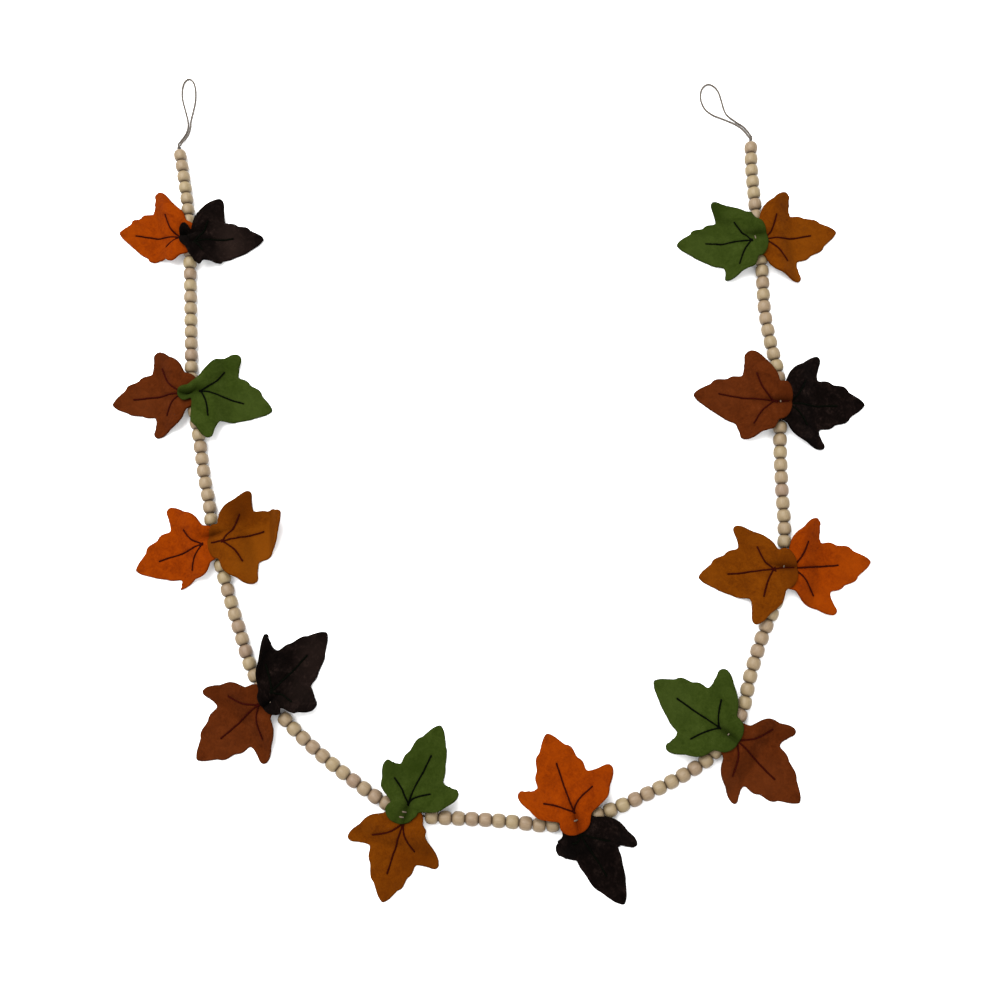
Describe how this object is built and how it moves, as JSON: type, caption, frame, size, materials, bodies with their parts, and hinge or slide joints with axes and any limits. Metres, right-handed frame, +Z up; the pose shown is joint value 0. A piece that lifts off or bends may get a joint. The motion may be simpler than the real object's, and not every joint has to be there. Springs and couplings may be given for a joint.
{
  "type": "bead garland with felt leaves",
  "caption": "Autumn garland of round wooden beads on a cord, with pairs of felt maple-like leaves sewn on and a hanging loop at each end.",
  "frame": {"origin": "on the surface the garland lies on, below the middle of its strand and leaves, the hanging loops left out", "axes": "+Z up from the surface, +Y towards the hanging loops at the open end of the U, +X to the right as seen from above with the loops away from the viewer"},
  "size_m": [0.6774, 0.7537, 0.0278],
  "materials": {
    "wood_bead": "bare turned wood, matt",
    "cord": "twisted cord, matt",
    "felt_orange": "wool felt, matt",
    "felt_ochre": "wool felt, matt",
    "felt_rust": "wool felt, matt",
    "felt_green": "wool felt, matt",
    "felt_dark": "coarse wool felt, matt"
  },
  "bodies": {
    "root": {"bead_run_01": "wood_bead", "bead_run_02": "wood_bead", "bead_run_03": "wood_bead", "bead_run_04": "wood_bead", "bead_run_05": "wood_bead", "bead_run_06": "wood_bead", "bead_run_07": "wood_bead", "bead_run_08": "wood_bead", "bead_run_09": "wood_bead", "bead_run_10": "wood_bead", "bead_run_11": "wood_bead", "cord_stretch_01": "cord", "cord_stretch_02": "cord", "cord_stretch_03": "cord", "cord_stretch_04": "cord", "cord_stretch_05": "cord", "cord_stretch_06": "cord", "cord_stretch_07": "cord", "cord_stretch_08": "cord", "cord_stretch_09": "cord", "cord_stretch_10": "cord", "loop_knot_left": "cord", "hanging_loop_left": "cord", "loop_knot_right": "cord", "hanging_loop_right": "cord", "leaf_01_back": "felt_orange", "leaf_01_front": "felt_dark", "leaf_02_back": "felt_rust", "leaf_02_front": "felt_green", "leaf_03_back": "felt_orange", "leaf_03_front": "felt_ochre", "leaf_04_back": "felt_rust", "leaf_04_front": "felt_dark", "leaf_05_back": "felt_ochre", "leaf_05_front": "felt_green", "leaf_06_back": "felt_dark", "leaf_06_front": "felt_orange", "leaf_07_back": "felt_rust", "leaf_07_front": "felt_green", "leaf_08_back": "felt_orange", "leaf_08_front": "felt_ochre", "leaf_09_back": "felt_dark", "leaf_09_front": "felt_rust", "leaf_10_back": "felt_ochre", "leaf_10_front": "felt_green"}
  },
  "joints": []
}
